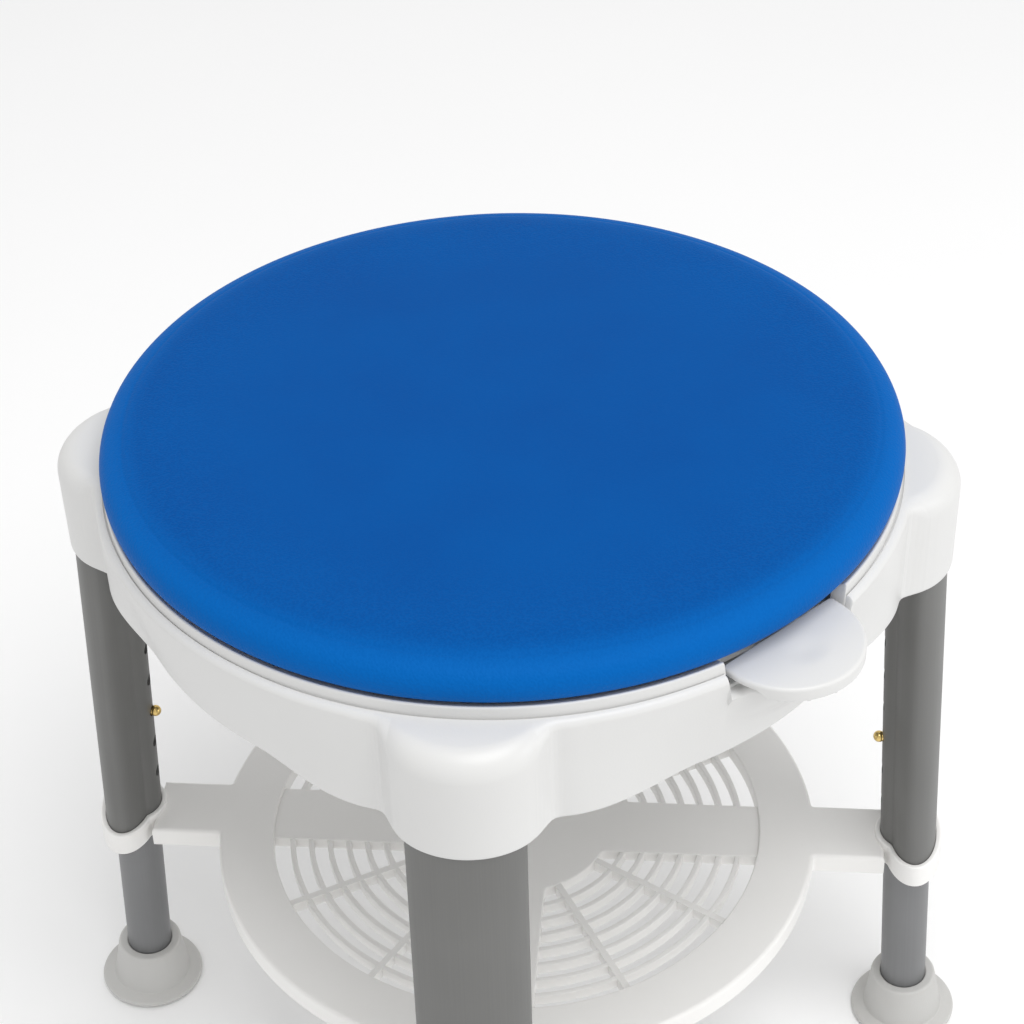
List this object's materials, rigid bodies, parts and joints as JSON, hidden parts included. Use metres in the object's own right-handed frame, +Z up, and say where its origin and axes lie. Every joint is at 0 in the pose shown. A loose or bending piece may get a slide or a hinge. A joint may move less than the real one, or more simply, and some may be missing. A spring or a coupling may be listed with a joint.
{
  "type": "shower stool",
  "caption": "Round shower stool with a padded swivel seat, a lock lever under its edge, a slotted storage tray and telescoping legs set by snap buttons.",
  "frame": {"origin": "on the floor, under the seat's turning axis", "axes": "+Z up along the seat's turning axis, -Y towards the front leg, +X towards the right leg, lock lever between the two"},
  "size_m": [0.5066, 0.5066, 0.424],
  "materials": {
    "pad_vinyl": "satin, finely grained vinyl",
    "plywood": "bare",
    "zinc_steel": "zinc plated",
    "white_plastic": "satin-gloss moulded",
    "tray_plastic": "satin moulded",
    "nylon": "satin",
    "dark_nylon": "satin",
    "anodised_grey": "satin anodised",
    "satin_aluminium": "satin anodised",
    "foot_rubber": "satin",
    "brass": "polished"
  },
  "bodies": {
    "frame": {"seat_frame": "white_plastic", "socket_screws": "zinc_steel", "glide_pads": "nylon", "pivot_bolt": "zinc_steel", "pivot_washer": "zinc_steel", "pivot_nut": "zinc_steel", "lever_pin": "zinc_steel", "lever_spring": "zinc_steel", "storage_tray": "tray_plastic", "upper_tube_front": "anodised_grey", "upper_tube_right": "anodised_grey", "upper_tube_back": "anodised_grey", "upper_tube_left": "anodised_grey", "tube_bush_front": "dark_nylon", "tube_bush_right": "dark_nylon", "tube_bush_back": "dark_nylon", "tube_bush_left": "dark_nylon"},
    "seat": {"seat_cushion": "pad_vinyl", "cushion_board": "plywood", "cushion_screws": "zinc_steel", "seat_plate": "white_plastic", "pivot_bush": "nylon"},
    "lever": {"lock_lever": "white_plastic"},
    "leg_front": {"inner_tube_front": "satin_aluminium", "rubber_foot_front": "foot_rubber", "button_spring_front": "zinc_steel"},
    "button_front": {"snap_button_front": "brass"},
    "leg_right": {"inner_tube_right": "satin_aluminium", "rubber_foot_right": "foot_rubber", "button_spring_right": "zinc_steel"},
    "button_right": {"snap_button_right": "brass"},
    "leg_back": {"inner_tube_back": "satin_aluminium", "rubber_foot_back": "foot_rubber", "button_spring_back": "zinc_steel"},
    "button_back": {"snap_button_back": "brass"},
    "leg_left": {"inner_tube_left": "satin_aluminium", "rubber_foot_left": "foot_rubber", "button_spring_left": "zinc_steel"},
    "button_left": {"snap_button_left": "brass"}
  },
  "joints": [
    {"name": "seat_swivel", "type": "hinge", "parent": "frame", "child": "seat", "pos_m": [0, 0, 0.39], "axis": [0, 0, 1], "continuous": true},
    {"name": "lever_press", "type": "hinge", "parent": "frame", "child": "lever", "pos_m": [0.07769, -0.07502, 0.378], "axis": [0.6947, 0.7193, 0], "range_deg": [-2.6, 3.4], "stiffness_Nm_per_rad": 4, "deforming": ["lever_spring"]},
    {"name": "leg_slide_front", "type": "slide", "parent": "frame", "child": "leg_front", "axis": [0, -0.0523, -0.9986], "range_m": [-0.09, 0.045]},
    {"name": "leg_slide_right", "type": "slide", "parent": "frame", "child": "leg_right", "axis": [0.0523, 0, -0.9986], "range_m": [-0.09, 0.045]},
    {"name": "leg_slide_back", "type": "slide", "parent": "frame", "child": "leg_back", "axis": [0, 0.0523, -0.9986], "range_m": [-0.09, 0.045]},
    {"name": "leg_slide_left", "type": "slide", "parent": "frame", "child": "leg_left", "axis": [-0.0523, 0, -0.9986], "range_m": [-0.09, 0.045]},
    {"name": "button_press_front", "type": "slide", "parent": "leg_front", "child": "button_front", "axis": [0, -0.9986, 0.0523], "range_m": [0, 0.007], "stiffness_N_per_m": 600, "springref_m": -0.001},
    {"name": "button_press_right", "type": "slide", "parent": "leg_right", "child": "button_right", "axis": [0.9986, 0, 0.0523], "range_m": [0, 0.007], "stiffness_N_per_m": 600, "springref_m": -0.001},
    {"name": "button_press_back", "type": "slide", "parent": "leg_back", "child": "button_back", "axis": [0, 0.9986, 0.0523], "range_m": [0, 0.007], "stiffness_N_per_m": 600, "springref_m": -0.001},
    {"name": "button_press_left", "type": "slide", "parent": "leg_left", "child": "button_left", "axis": [-0.9986, 0, 0.0523], "range_m": [0, 0.007], "stiffness_N_per_m": 600, "springref_m": -0.001}
  ]
}
